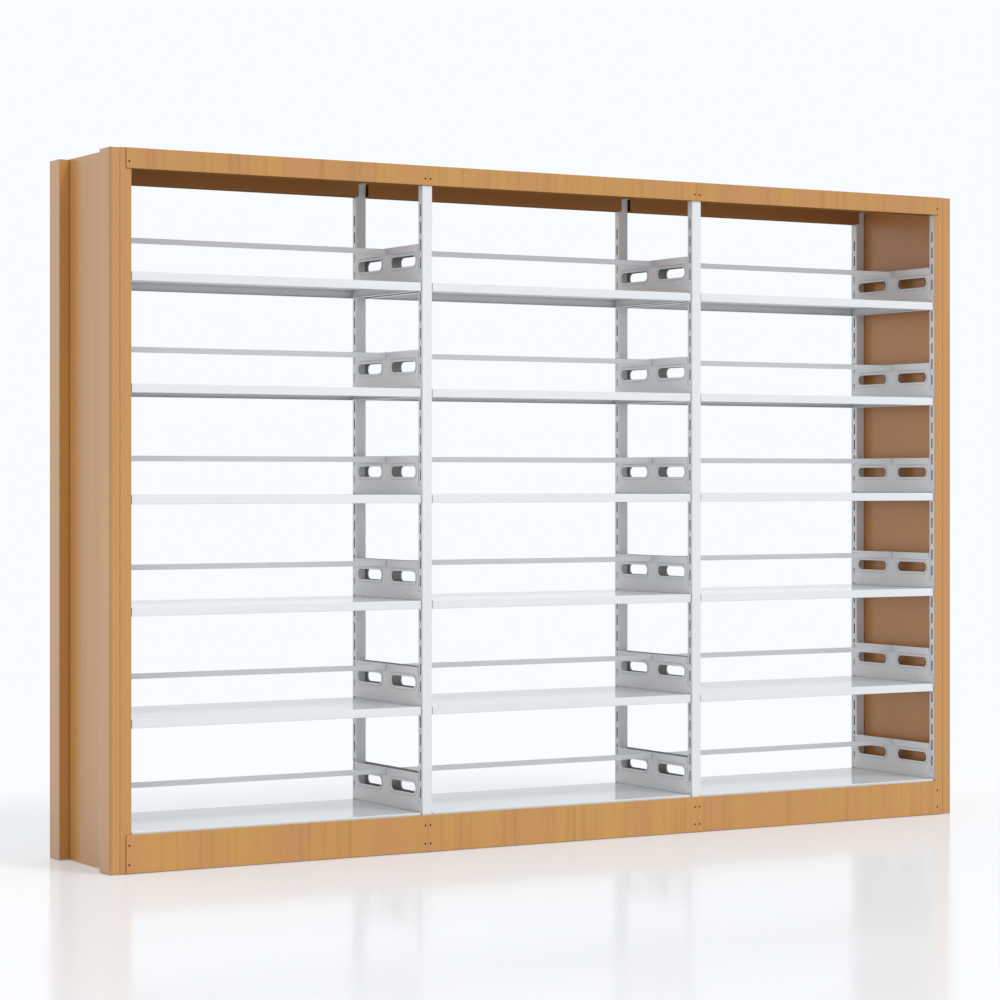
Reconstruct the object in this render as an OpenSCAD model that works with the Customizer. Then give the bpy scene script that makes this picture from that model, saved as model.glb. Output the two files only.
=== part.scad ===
// Library shelving: three bays of adjustable steel shelves, open at the front and at the back.
// X runs along the row, Y from front to back, Z up from the floor. The origin is the middle of the
// footprint. Slotted uprights stand in pairs at the four frame lines. End plates hang in the slots
// by lanced hooks, a stop bar joins each pair of plates, and a shelf tray lies on their flanges.

/* [Row] */
// Width of one bay, from frame line to frame line
bay_w = 1000; // [900:1:1100]
// Depth over the fascias
depth = 473; // [461:1:611]
// Overall height
height = 2111; // [2081:1:2401]

/* [Shelf levels] */
// Top surface of the lowest shelf above the floor
first_shelf_z = 122; // [120:1:170]
// Rise from one shelf to the next
level_rise = 326; // [300:1:330]
// Slots in one rise, so that every level finds a slot
slots_per_level = 6; // [4:1:6]

/* [Uprights] */
// Width of an upright along the row
upright_w = 34; // [30:0.5:44]
// Depth of an upright, front to back
upright_d = 27.3; // [24:0.1:34]
// Wall of an upright
upright_wall = 1.5; // [1.2:0.1:1.7]
// Outside corner radius of an upright
upright_r = 2; // [1.8:0.1:4]
// Height of a slot
slot_h = 34; // [32:0.5:38]
// Width of a slot
slot_w = 6.5; // [4.5:0.1:7]
// Height of a slot centre above the shelf surface it serves
slot_rise = 6; // [4:0.5:8]
// Least plain length of upright between the top slot and the fascia
slot_margin = 40; // [20:1:60]

/* [End plates] */
// Sheet of the end plates
plate_t = 1.5; // [1.2:0.1:2]
// Height of an end plate above the shelf surface
plate_h = 120; // [118:0.5:130]
// Height of the front toe above the shelf surface
toe_h = 26; // [24:0.5:34]
// Distance of the plate's front and rear ends behind the outer faces of the uprights
plate_inset = 5.1; // [3:0.1:7]
// Lap of an end plate over the side of the front upright, above the toe
plate_lap = 2; // [1:0.1:4]
// Corner radius of the plates
plate_r = 5; // [2:0.5:8]
// Height of the folded hem along the top edge
hem_h = 22; // [20:0.5:23]
// Width of the bottom flange that carries the shelf
seat_w = 16; // [12:0.5:24]
// Length of an oval hole
oval_l = 159; // [120:1:160]
// Height of an oval hole
oval_h = 33; // [24:0.5:34]
// Distance of an oval hole's centre from the middle of the plate
oval_y = 111; // [108:1:112]
// Height of an oval hole's centre above the shelf surface
oval_z = 71; // [68:0.5:72]
// Width of the pressed rim round an oval hole
rim_w = 7; // [4:0.5:8]
// Height of the pressed rim over the sheet
rim_t = 0.6; // [0.5:0.1:1.2]
// Width of the line pressed round the rim
rim_line_w = 2; // [0.8:0.1:2.4]
// Depth of that line
rim_line_d = 1; // [0.3:0.1:1]
// Depth of the collar drawn through an oval hole, behind the sheet
collar_h = 0.5; // [0.5:0.5:6]

/* [Hooks] */
// Height of a hook's neck, where it passes the slot
neck_h = 16; // [12:0.5:17]
// Length of the beak behind the wall of the upright
beak_h = 8; // [5:0.5:9]
// Length of the beak along the row
beak_w = 2.5; // [2:0.1:3]

/* [Stop bars] */
// Height of the underside of the stop bar above the shelf surface
bar_z = 101; // [100:0.5:101.5]
// Height of the stop bar's section
bar_h = 16.5; // [12:0.5:17]
// Depth of the stop bar's section
bar_d = 7; // [6:0.5:10]
// Wall of the stop bar
bar_wall = 1; // [0.8:0.1:1.5]
// Height of the tongue that enters the end plate
tongue_h = 9; // [6:0.5:10]
// Thickness of the tongue
tongue_t = 2; // [1.5:0.1:3]

/* [Shelves] */
// Sheet of the shelves
shelf_t = 1; // [0.8:0.1:1.2]
// Height of the front and rear lips
lip_h = 26; // [24:0.5:32]
// Width of the return under each lip
lip_return = 12; // [8:0.5:16]
// Distance of the lips behind the outer faces of the uprights
shelf_inset = 4.1; // [2:0.1:7]
// Gap between a shelf end and the hem of the end plate
shelf_end_gap = 0.3; // [0.2:0.1:1]

/* [Top covers] */
// Sheet of the top covers
cover_t = 1.2; // [1:0.1:1.5]
// Height of the fascia
cover_h = 61; // [55:1:81]
// Depth of the flange at the foot of the fascia
cover_flange = 48.5; // [44:0.5:66]
// Height of the inner wall that stands on the back of the flange
cover_wall = 48; // [20:0.5:54]
// Outside radius of the bend along the foot of the fascia
foot_bend = 2.5; // [2.2:0.1:6]
// Radius at the outer corners of the fascias and kick plates
face_r = 8; // [3:0.5:12]
// Depth of the returns that stand the fascias and kick plates off the uprights
face_return = 3.2; // [2.5:0.1:8]

/* [Kick plates] */
// Top edge of the kick plates above the floor
kick_h = 114.5; // [100:0.5:118]
// Sheet of the kick plates
kick_t = 1.2; // [1:0.1:1.5]
// Width of the return along the foot of a kick plate
kick_return = 15; // [8:0.5:25]

/* [End panels] */
// Sheet of the end panels
panel_t = 1.2; // [1:0.1:1.5]
// Height of the raised mouldings over the panel's field
mould_h = 32.5; // [20:0.5:45]
// Width of the raised mouldings, front to back
mould_w = 77; // [60:1:100]
// Radius of the outer corner of a moulding
mould_r = 2; // [1.5:0.1:12]
// Outside radius of the other bends of panels and mouldings
panel_bend = 1.8; // [1.6:0.1:3.5]
// Width of the lips by which a moulding sits on the panel
mould_lip = 12; // [6:1:20]

/* [Frame rails and feet] */
// Width of the rails that join the uprights of a frame
rail_w = 20; // [15:1:28]
// Height of the top rail's section
rail_top_h = 18; // [14:1:24]
// Height of the bottom rail's section
rail_foot_h = 30; // [20:1:50]
// Underside of the bottom rail above the floor
rail_foot_z = 30; // [10:1:50]
// Wall of the rails
rail_wall = 1.5; // [1.2:0.1:2]
// Thickness of the sole of a foot cap
sole_t = 5; // [3:0.5:10]
// Length of a foot cap's plug inside the upright
plug_l = 16; // [10:1:18]
// Wall of that plug
plug_wall = 2; // [1.5:0.1:3]

/* [Screws] */
// Diameter of the screw heads
head_d = 6; // [5.8:0.1:7]
// Height of the domed heads
head_h = 1.6; // [1.2:0.1:2.5]
// Diameter of the screw shanks
shank_d = 4; // [3.5:0.1:4.2]
// Length of the screw shanks
shank_l = 14; // [12:0.5:18]
// Distance of a screw from its frame line
screw_x = 8.8; // [6:0.1:9]
// Drop of the fascia screws below the top
cover_screw_drop = 40; // [30:0.5:46]
// Height of the lower kick plate screws
kick_screw_low = 27; // [20:0.5:35]
// Height of the upper kick plate screws
kick_screw_high = 83; // [70:0.5:90]

/* [Clearances] */
// Gap between an end plate and the side of an upright
side_gap = 0.3; // [0.2:0.1:0.6]
// Gap round tongues, screws and plugs in their holes
fit_gap = 0.3; // [0.2:0.05:0.4]
// Gap from the frame line to the edge of a fascia or kick plate
seam_gap = 0.3; // [0.2:0.1:1]
// Gap between notched flanges and the uprights they pass
notch_gap = 0.6; // [0.3:0.1:2]
// Gap under kick plates and end panels
floor_gap = 1; // [0.5:0.5:4]

/* [Hidden] */
$fn = 48;
bays = 3;
levels = 6;
frames = bays + 1;
front = -depth / 2;
row_l = bays * bay_w;
slot_pitch = level_rise / slots_per_level;

// Uprights: the panel's flange lies in front of those at the ends of the row. Uprights and flanges
// have their outer faces in one plane, panel_y from the middle
upright_y0 = max(cover_t, kick_t) + face_return;
panel_y = -front - upright_y0;
hook_y = panel_t / 2 + upright_d / 2 - panel_y;
cover_bend = cover_t + 0.8;
upright_top = height - cover_bend;
inner_w = upright_w - 2 * upright_wall;
first_slot_z = first_shelf_z + slot_rise;
slot_reach = height - cover_h - slot_margin - slot_h / 2 - first_slot_z;
slot_count = 1 + floor(slot_reach / slot_pitch);

// End plates, measured from their frame line towards the bay
plate_x0 = upright_w / 2 + side_gap;
plate_x1 = plate_x0 + plate_t;
hem_x1 = plate_x1 + plate_t;
plate_y0 = upright_d - plate_lap - panel_y;
plate_y1 = panel_y - plate_inset;
flange_y0 = plate_y0 + plate_r;
flange_y1 = -flange_y0;
slot_foot = slot_rise - slot_h / 2;
beak_x1 = upright_w / 2 - upright_wall - fit_gap;
beak_x0 = beak_x1 - beak_w;
tab_t = plate_t;
window_w = plate_x1 - beak_x0 - plate_t + 1;
seat_bend = 1 + plate_t;

// Shelves
shelf_x = bay_w / 2 - hem_x1 - shelf_end_gap;
shelf_y = panel_y - shelf_inset;
shelf_bend = shelf_t + 1;

// End panels
panel_field_x = upright_w / 2 + side_gap + panel_t;
panel_x = panel_field_x + mould_h;
panel_h = height - cover_t - floor_gap;

FRAME_SIDES = ["front", "rear"];

STEEL_WHITE = "#dfe2e4";
STEEL_GREY = "#b4b7b9";
WOOD_FACE = "#c79a63";
WOOD_FIELD = "#bc966e";
ZINC = "#8d8f91";
PLASTIC = "#2b2c2e";

// Places that repeat

function frame_x(f) = (f - (frames + 1) / 2) * bay_w;
function bay_x(b) = (b - (bays + 1) / 2) * bay_w;
function level_z(l) = first_shelf_z + (l - 1) * level_rise;
function is_end(f) = f == 1 || f == frames;
function upright_y(f) = front + upright_y0 + (is_end(f) ? panel_t : 0);
// Screw columns at a frame line: a pair astride a seam, one inboard at the end of the row
function screw_xs(f) = is_end(f) ? [-sign(frame_x(f)) * screw_x] : [-screw_x, screw_x];

// Flat shapes

module rounded_rect(x0, y0, x1, y1, r) {
    translate([x0 + r, y0]) square([x1 - x0 - 2 * r, y1 - y0]);
    translate([x0, y0 + r]) square([x1 - x0, y1 - y0 - 2 * r]);
    for (x = [x0 + r, x1 - r], y = [y0 + r, y1 - r]) translate([x, y]) circle(r);
}

module oval(l, h) {
    square([l - h, h], center = true);
    for (s = [-1, 1]) translate([s * (l - h) / 2, 0]) circle(h / 2);
}

// What rounding takes off a corner that points to +x and +y, drawn about the arc's centre
module corner_off(r) {
    difference() {
        square(r + 1);
        circle(r);
    }
}

function unit(v) = v / norm(v);
function left_of(d) = [-d[1], d[0]];
function spot(path, i) = [path[i][0], path[i][1]];
function heading(path, i) = unit(spot(path, i + 1) - spot(path, i));
function turn_sign(path, i) = sign(cross(heading(path, i - 1), heading(path, i)));
function half_turn(path, i) = acos(heading(path, i - 1) * heading(path, i)) / 2;
function setback(path, i) =
    i == 0 || i == len(path) - 1 ? 0 : path[i][2] * tan(half_turn(path, i));

// Sheet metal seen on edge: each entry of path is [x, y, radius], the radius being that of the face
// which follows the path, and the metal lies to the left of the way the path runs
module bent_sheet(path, t) {
    for (i = [0:len(path) - 2]) {
        d = heading(path, i);
        run = norm(spot(path, i + 1) - spot(path, i)) - setback(path, i) - setback(path, i + 1);
        translate(spot(path, i) + d * setback(path, i))
            rotate(atan2(d[1], d[0]))
                square([run, t]);
    }
    for (i = [1:len(path) - 2]) bend(path, i, t);
}

module bend(path, i, t) {
    s = turn_sign(path, i);
    r = path[i][2];
    n_in = left_of(heading(path, i - 1));
    n_out = left_of(heading(path, i));
    outer = s > 0 ? r : r + t;
    centre = spot(path, i) - heading(path, i - 1) * setback(path, i) + n_in * s * r;
    reach = 2 * outer;
    translate(centre) intersection() {
        difference() {
            circle(outer);
            circle(outer - t);
        }
        polygon([[0, 0], -n_in * s * reach, -(n_in + n_out) * s * reach, -n_out * s * reach]);
    }
}

// Extrudes a shape drawn in Y and Z along the row, from x0 to x1
module along_row(x0, x1) {
    translate([x0, 0, 0]) rotate([90, 0, 90]) linear_extrude(x1 - x0) children();
}

// Draws its children for the front, and again turned round for the rear
module front_and_rear() {
    children();
    mirror([0, 1, 0]) children();
}

// Screws and their holes, with the axis along Y and the head's seat at y = 0

module screw() {
    color(ZINC) rotate([90, 0, 0]) {
        difference() {
            union() {
                rotate_extrude() screw_head_half();
                translate([0, 0, -shank_l]) cylinder(d = shank_d, h = shank_l + head_h / 4);
            }
            for (a = [0, 90]) rotate(a)
                translate([-head_d / 4, -0.5, head_h / 2]) cube([head_d / 2, 1, head_h]);
        }
    }
}

// Half the section of a domed head: the cap of a circle through the rim and the crown
module screw_head_half() {
    dome_r = (head_d * head_d / 4 + head_h * head_h) / (2 * head_h);
    intersection() {
        translate([0, head_h - dome_r]) circle(dome_r);
        square([head_d / 2, head_h]);
    }
}

module screw_hole(x, z) {
    translate([x, front - head_h, z]) rotate([-90, 0, 0])
        cylinder(d = shank_d + 2 * fit_gap, h = shank_l + head_h + fit_gap);
}

module cover_screw_holes(f) {
    for (dx = screw_xs(f)) screw_hole(frame_x(f) + dx, height - cover_screw_drop);
}

module kick_screw_holes(f) {
    for (dx = screw_xs(f), z = [kick_screw_low, kick_screw_high]) screw_hole(frame_x(f) + dx, z);
}

module top_cover_screws() {
    front_and_rear()
        for (f = [1:frames], dx = screw_xs(f))
            translate([frame_x(f) + dx, front, height - cover_screw_drop]) screw();
}

module kick_plate_screws() {
    front_and_rear()
        for (f = [1:frames], dx = screw_xs(f), z = [kick_screw_low, kick_screw_high])
            translate([frame_x(f) + dx, front, z]) screw();
}

// Uprights: slotted tubes, the slots through both side walls at an even pitch

module upright_section() {
    difference() {
        rounded_rect(-upright_w / 2, 0, upright_w / 2, upright_d, upright_r);
        rounded_rect(-inner_w / 2, upright_wall, inner_w / 2, upright_d - upright_wall,
            upright_r - upright_wall);
    }
}

module upright_front(f) {
    color(STEEL_WHITE) difference() {
        translate([frame_x(f), upright_y(f), sole_t])
            linear_extrude(upright_top - sole_t) upright_section();
        for (i = [0:slot_count - 1])
            translate([frame_x(f), upright_y(f) + upright_d / 2, first_slot_z + i * slot_pitch])
                cube([upright_w + 2, slot_w, slot_h], center = true);
        cover_screw_holes(f);
        kick_screw_holes(f);
    }
}

module upright(f, side) {
    if (side == "front") upright_front(f);
    else mirror([0, 1, 0]) upright_front(f);
}

module rail(f, z, h) {
    y0 = upright_y(f) + upright_d;
    translate([frame_x(f), y0, z]) rotate([-90, 0, 0]) linear_extrude(-2 * y0) difference() {
        translate([-rail_w / 2, -h]) square([rail_w, h]);
        translate([rail_wall - rail_w / 2, rail_wall - h])
            square([rail_w - 2 * rail_wall, h - 2 * rail_wall]);
    }
}

module frame_rails() {
    color(STEEL_WHITE) for (f = [1:frames]) {
        rail(f, upright_top - rail_top_h, rail_top_h);
        rail(f, rail_foot_z, rail_foot_h);
    }
}

// Foot caps: a sole under the tube and a hollow plug up inside it
module foot_cap(f) {
    plug_x = inner_w / 2 - fit_gap;
    plug_y0 = upright_wall + fit_gap;
    plug_y1 = upright_d - upright_wall - fit_gap;
    translate([frame_x(f), upright_y(f), 0]) {
        linear_extrude(sole_t)
            rounded_rect(-upright_w / 2, 0, upright_w / 2, upright_d, upright_r);
        translate([0, 0, sole_t]) linear_extrude(plug_l) difference() {
            translate([-plug_x, plug_y0]) square([2 * plug_x, plug_y1 - plug_y0]);
            translate([plug_wall - plug_x, plug_y0 + plug_wall])
                square([2 * (plug_x - plug_wall), plug_y1 - plug_y0 - 2 * plug_wall]);
        }
    }
}

module foot_caps() {
    color(PLASTIC) front_and_rear() for (f = [1:frames]) difference() {
        foot_cap(f);
        kick_screw_holes(f);
    }
}

// Fascias and kick plates: sheet cut to its bay, with returns at its ends that stand on the uprights

// The fascia's own stretch of the row, short of the frame lines by the seam gap
function face_x0(b) = bay_x(b) - bay_w / 2 + (b == 1 ? 0 : seam_gap);
function face_x1(b) = bay_x(b) + bay_w / 2 - (b == bays ? 0 : seam_gap);

// Draws its children at each end of the row that the bay reaches, as at the right-hand end with
// x = 0 at the end of the fascias
module at_row_ends(b) {
    for (s = [-1, 1]) if ((s < 0 && b == 1) || (s > 0 && b == bays))
        mirror([s < 0 ? 1 : 0, 0, 0]) translate([row_l / 2, 0, 0]) children();
}

// Cuts the flanges back from both frame lines of a bay, from z0 to z1, as deep as y1
module flange_notches(b, y1, z0, z1) {
    half = upright_w / 2 + notch_gap;
    y0 = -panel_y - fit_gap;
    for (x = [-bay_w / 2, bay_w / 2])
        translate([bay_x(b) + x - half, y0, z0]) cube([2 * half, y1 - y0, z1 - z0]);
}

// Turns what is drawn for a lower corner at height z into the one for an upper corner if up is 1
module corner_at(z, up) {
    translate([0, 0, z]) mirror([0, 0, up]) children();
}

// What the rounded corner at an end of the row takes off a face
module end_corner(b, z, up) {
    at_row_ends(b) corner_at(z, up) rotate([90, 0, 0]) linear_extrude(depth + 2, center = true)
        translate([-face_r, face_r]) mirror([0, 1]) corner_off(face_r);
}

// The return at an end of the row on edge: along the end of the face and round its corner
module return_line(run, t) {
    translate([-t, face_r]) square([t, run - face_r]);
    translate([-face_r, face_r]) intersection() {
        difference() {
            circle(face_r);
            circle(face_r - t);
        }
        translate([0, -face_r]) square(face_r);
    }
}

// That return, rounded like the bend along the edge of the face
module end_return(b, z, up, run, bend_r, t) {
    at_row_ends(b) corner_at(z, up) difference() {
        translate([0, -panel_y, 0]) rotate([90, 0, 0])
            linear_extrude(upright_y0) return_line(run, t);
        along_row(-face_r - 1, 1) translate([front + bend_r, bend_r])
            rotate(180) corner_off(bend_r);
    }
}

// The returns beside the seams between two bays
module seam_returns(b, z0, z1, t) {
    for (x = concat(b > 1 ? [face_x0(b)] : [], b < bays ? [face_x1(b) - t] : []))
        along_row(x, x + t) translate([front, z0]) square([upright_y0, z1 - z0]);
}

module top_cover(b) {
    foot_z = height - cover_h;
    edge_y = -front - cover_flange;
    profile = [
        [edge_y, foot_z + cover_wall, 0],
        [edge_y, foot_z, cover_bend],
        [-front, foot_z, foot_bend],
        [-front, height, cover_bend],
        [front, height, cover_bend],
        [front, foot_z, foot_bend],
        [-edge_y, foot_z, cover_bend],
        [-edge_y, foot_z + cover_wall, 0]
    ];
    color(WOOD_FACE) difference() {
        union() {
            difference() {
                along_row(face_x0(b), face_x1(b)) bent_sheet(profile, cover_t);
                end_corner(b, foot_z, 0);
            }
            front_and_rear() {
                end_return(b, foot_z, 0, cover_h - cover_bend, foot_bend, cover_t);
                seam_returns(b, foot_z + foot_bend, height - cover_bend, cover_t);
            }
            // At an end of the row the top sheet runs on over the upright
            at_row_ends(b) translate([-1, -panel_y, height - cover_t])
                cube([1 + upright_w / 2, 2 * panel_y, cover_t]);
        }
        front_and_rear() {
            flange_notches(b, front + cover_flange + 1, foot_z - 1, foot_z + cover_wall + 1);
            for (f = [b, b + 1]) cover_screw_holes(f);
        }
    }
}

module kick_plate_front(b) {
    bend_r = kick_t + 0.8;
    profile = [
        [-panel_y, kick_h, 0],
        [front, kick_h, bend_r],
        [front, floor_gap, bend_r],
        [front + kick_return, floor_gap, 0]
    ];
    color(WOOD_FACE) difference() {
        union() {
            difference() {
                along_row(face_x0(b), face_x1(b)) bent_sheet(profile, kick_t);
                end_corner(b, kick_h, 1);
            }
            end_return(b, kick_h, 1, kick_h - floor_gap - bend_r, bend_r, kick_t);
            seam_returns(b, floor_gap + bend_r, kick_h - bend_r, kick_t);
        }
        flange_notches(b, front + kick_return + 1, 0, sole_t + kick_t);
        for (f = [b, b + 1]) kick_screw_holes(f);
    }
}

module kick_plate(b, side) {
    if (side == "front") kick_plate_front(b);
    else mirror([0, 1, 0]) kick_plate_front(b);
}

// End panels: a flat tray whose flanges lie over the uprights, with a closed channel raised on its
// outer face along the front and the rear edge. Sections are drawn from the last frame line.

module panel_section() {
    bent_sheet([
        [-upright_w / 2, -panel_y, 0],
        [panel_field_x, -panel_y, panel_bend],
        [panel_field_x, panel_y, panel_bend],
        [-upright_w / 2, panel_y, 0]
    ], panel_t);
}

module end_panel_right() {
    color(WOOD_FIELD) difference() {
        translate([row_l / 2, 0, floor_gap]) linear_extrude(panel_h) panel_section();
        front_and_rear() {
            cover_screw_holes(frames);
            kick_screw_holes(frames);
        }
    }
}

module end_panel_left() {
    mirror([1, 0, 0]) end_panel_right();
}

module moulding_section() {
    bent_sheet([
        [panel_field_x, mould_lip - panel_y, 0],
        [panel_field_x, -panel_y, panel_bend],
        [panel_x, -panel_y, mould_r],
        [panel_x, mould_w - panel_y, panel_bend],
        [panel_field_x, mould_w - panel_y, panel_bend],
        [panel_field_x, mould_w - mould_lip - panel_y, 0]
    ], panel_t);
}

// The end of a moulding, closed by a cap of the same outline
module moulding_cap() {
    foot_x = panel_field_x + panel_bend;
    back_y = mould_w - panel_bend - panel_y;
    difference() {
        translate([panel_field_x, -panel_y]) square([mould_h, mould_w]);
        translate([panel_x - mould_r, mould_r - panel_y]) mirror([0, 1]) corner_off(mould_r);
        translate([panel_x - panel_bend, back_y]) corner_off(panel_bend);
        translate([foot_x, back_y]) mirror([1, 0]) corner_off(panel_bend);
        translate([foot_x, panel_bend - panel_y]) rotate(180) corner_off(panel_bend);
    }
}

module panel_mouldings() {
    color(WOOD_FIELD) for (s = [0, 1]) mirror([s, 0, 0]) front_and_rear()
        translate([row_l / 2, 0, floor_gap]) {
            linear_extrude(panel_h) moulding_section();
            for (z = [0, panel_h - panel_t]) translate([0, 0, z])
                linear_extrude(panel_t) moulding_cap();
        }
}

// End plates, drawn at a left-hand frame line with the bay towards +X and the shelf surface at z = 0

module plate_outline() {
    rounded_rect(plate_y0, -lip_h, plate_y1, plate_h, plate_r);
    rounded_rect(-plate_y1, -lip_h, plate_y0 + 3 * plate_r, toe_h, plate_r);
    // Fillet in the inner corner above the toe
    difference() {
        translate([plate_y0 - plate_r, toe_h - 1]) square(plate_r + 1);
        translate([plate_y0 - plate_r, toe_h + plate_r]) circle(plate_r);
    }
}

module at_ovals() {
    for (s = [-1, 1]) translate([s * oval_y, oval_z]) children();
}

// Runs its children at each hook: the slots in the front toe and up the rear edge
module at_hooks() {
    translate([0, 0, slot_foot]) children();
    mirror([0, 1, 0]) for (i = [0:2]) translate([0, 0, slot_foot + i * slot_pitch]) children();
}

// A hook lanced from the sheet and turned into the slot: the neck stands on the slot's foot and the
// beak drops behind the wall
module hook() {
    lead = beak_w / 2;
    translate([0, hook_y, 0]) rotate([90, 0, 0]) linear_extrude(tab_t) polygon([
        [plate_x1, 0], [beak_x1, 0], [beak_x1, -beak_h], [beak_x0 + lead, -beak_h],
        [beak_x0, lead - beak_h], [beak_x0, neck_h - lead], [beak_x0 + lead, neck_h],
        [plate_x1, neck_h]
    ]);
}

// The window that the hook leaves in the sheet
module hook_window() {
    translate([plate_x0 - 1, hook_y, -beak_h]) cube([plate_t + 2, window_w, neck_h + beak_h]);
}

module plate_sheet() {
    along_row(plate_x0, plate_x1) difference() {
        plate_outline();
        // The bottom edge gives way to the seat's bend, with a relief slit at each end
        translate([flange_y0 - plate_t, -lip_h - 1])
            square([flange_y1 - flange_y0 + 2 * plate_t, 1 + seat_bend]);
        // The top edge gives way to the hem's fold
        translate([flange_y0, plate_h - plate_t])
            square([flange_y1 - flange_y0, plate_t + 1]);
    }
}

// The bottom flange, turned into the bay to carry the shelf
module seat() {
    translate([0, flange_y1, 0]) rotate([90, 0, 0]) linear_extrude(flange_y1 - flange_y0)
        bent_sheet([
            [plate_x0, 1 + seat_bend - lip_h, 0],
            [plate_x0, -lip_h, seat_bend],
            [plate_x0 + seat_w, -lip_h, 0]
        ], plate_t);
}

// The hem: the top edge folded flat on itself towards the bay
module hem() {
    translate([0, flange_y1, 0]) rotate([90, 0, 0]) linear_extrude(flange_y1 - flange_y0) {
        translate([plate_x1, plate_h - hem_h]) square([plate_t, hem_h - plate_t]);
        intersection() {
            translate([plate_x1, plate_h - plate_t]) circle(plate_t);
            translate([plate_x0, plate_h - plate_t]) square([2 * plate_t, plate_t]);
        }
    }
}

// The oval hole, or its outline grown all round
module grown_oval(grow) {
    oval(oval_l + 2 * grow, oval_h + 2 * grow);
}

module end_plate() {
    difference() {
        union() {
            plate_sheet();
            seat();
            hem();
            along_row(plate_x1, plate_x1 + rim_t) at_ovals() grown_oval(rim_w);
            along_row(plate_x0 - collar_h, plate_x1) at_ovals() grown_oval(plate_t);
            at_hooks() hook();
        }
        // The hollow behind the rim, outside the collar
        along_row(plate_x0 - 1, plate_x0 + rim_t) at_ovals() difference() {
            grown_oval(rim_w - plate_t);
            grown_oval(plate_t);
        }
        along_row(plate_x1 - rim_line_d, plate_x1 + 1) at_ovals() difference() {
            grown_oval(rim_w + rim_line_w);
            grown_oval(rim_w);
        }
        along_row(plate_x0 - collar_h - 1, hem_x1 + 1) at_ovals() grown_oval(0);
        at_hooks() hook_window();
        tongue(fit_gap);
    }
}

// Stop bar: a flat tube across the bay at mid depth, with a tongue through each end plate

// The tongue at the left-hand end, grown by a gap when it cuts its slot
module tongue(gap) {
    z = bar_z + (bar_h - tongue_h) / 2;
    translate([plate_x0 - plate_t - gap, -tongue_t / 2 - gap, z - gap])
        cube([hem_x1 - plate_x0 + 2 * plate_t + gap, tongue_t + 2 * gap, tongue_h + 2 * gap]);
}

module stop_bar(b) {
    x0 = -bay_w / 2 + hem_x1 + fit_gap;
    r = bar_wall + 0.5;
    translate([bay_x(b), 0, 0]) {
        difference() {
            along_row(x0, -x0) rounded_rect(-bar_d / 2, bar_z, bar_d / 2, bar_z + bar_h, r);
            along_row(x0 + 2 * plate_t, -x0 - 2 * plate_t)
                rounded_rect(bar_wall - bar_d / 2, bar_z + bar_wall, bar_d / 2 - bar_wall,
                    bar_z + bar_h - bar_wall, r - bar_wall);
        }
        for (s = [0, 1]) mirror([s, 0, 0]) translate([-bay_w / 2, 0, 0]) tongue(0);
    }
}

module hanger(b, l) {
    color(STEEL_GREY) translate([0, 0, level_z(l)]) {
        translate([bay_x(b) - bay_w / 2, 0, 0]) end_plate();
        translate([bay_x(b) + bay_w / 2, 0, 0]) mirror([1, 0, 0]) end_plate();
        stop_bar(b);
    }
}

// Shelf: a tray turned down at all four sides, its end walls standing on the end plates' flanges

module shelf_section() {
    bent_sheet([
        [shelf_y - lip_return, -lip_h, 0],
        [shelf_y, -lip_h, shelf_bend],
        [shelf_y, 0, shelf_bend],
        [-shelf_y, 0, shelf_bend],
        [-shelf_y, -lip_h, shelf_bend],
        [lip_return - shelf_y, -lip_h, 0]
    ], shelf_t);
}

// An end wall of the tray: the outline under the surface, down to the flange that carries it
module shelf_end_section() {
    intersection() {
        rounded_rect(-shelf_y, -2 * lip_h, shelf_y, 0, shelf_bend);
        translate([-shelf_y, plate_t - lip_h]) square([2 * shelf_y, lip_h]);
    }
}

module shelf(b, l) {
    color(STEEL_WHITE) translate([bay_x(b), 0, level_z(l)]) {
        along_row(-shelf_x, shelf_x) shelf_section();
        for (x = [-shelf_x, shelf_x - shelf_t]) along_row(x, x + shelf_t) shelf_end_section();
    }
}

for (f = [1:frames], s = FRAME_SIDES)
    upright(f, s);
frame_rails();
foot_caps();
end_panel_left();
end_panel_right();
panel_mouldings();
for (b = [1:bays])
    top_cover(b);
for (s = FRAME_SIDES, b = [1:bays])
    kick_plate(b, s);
top_cover_screws();
kick_plate_screws();
for (b = [1:bays], l = [1:levels])
    hanger(b, l);
for (b = [1:bays], l = [1:levels])
    shelf(b, l);
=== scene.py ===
"""The looks of a row of open-faced library shelving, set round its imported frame.

Every sheet, tube and screw of the row comes with the frame. This script gives each of its nodes the
finish of the real thing and sets the plain studio that the row stands in.
"""

import logging
import math
from dataclasses import dataclass
from enum import Enum
from typing import Any

import bpy
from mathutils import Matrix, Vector

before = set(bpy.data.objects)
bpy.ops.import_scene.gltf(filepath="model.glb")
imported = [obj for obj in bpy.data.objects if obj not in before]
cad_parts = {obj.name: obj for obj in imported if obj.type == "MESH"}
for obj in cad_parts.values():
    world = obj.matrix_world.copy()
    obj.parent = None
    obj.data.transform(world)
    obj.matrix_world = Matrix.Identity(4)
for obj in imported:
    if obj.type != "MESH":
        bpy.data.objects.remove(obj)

LOG = logging.getLogger("shelving")
MM = 0.001
BAYS = 3
LEVELS = 6
FRAMES = BAYS + 1
BAY_W = 1.0
# The inside of the uprights, from the frame line along the row and from the row's middle in depth.
# Those at the ends stand 1.2 mm further in than the others, and the two limits hold for both.
TUBE_INSIDE_X = 15.6 * MM
TUBE_INSIDE_Y = (205.0 * MM, 230.75 * MM)
# The stop bars begin beyond the end plates and their flanges, measured from the frame line
BAR_FROM_X = 36.0 * MM
# The backs of the end plates all lie further than this from the frame line that they face
PLATE_BACK_FROM_X = 12.0 * MM
# The sharp outer corners of the end panels' mouldings, from the middle of the row
BEND_AT = (1551.0 * MM, 232.1 * MM)
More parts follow.
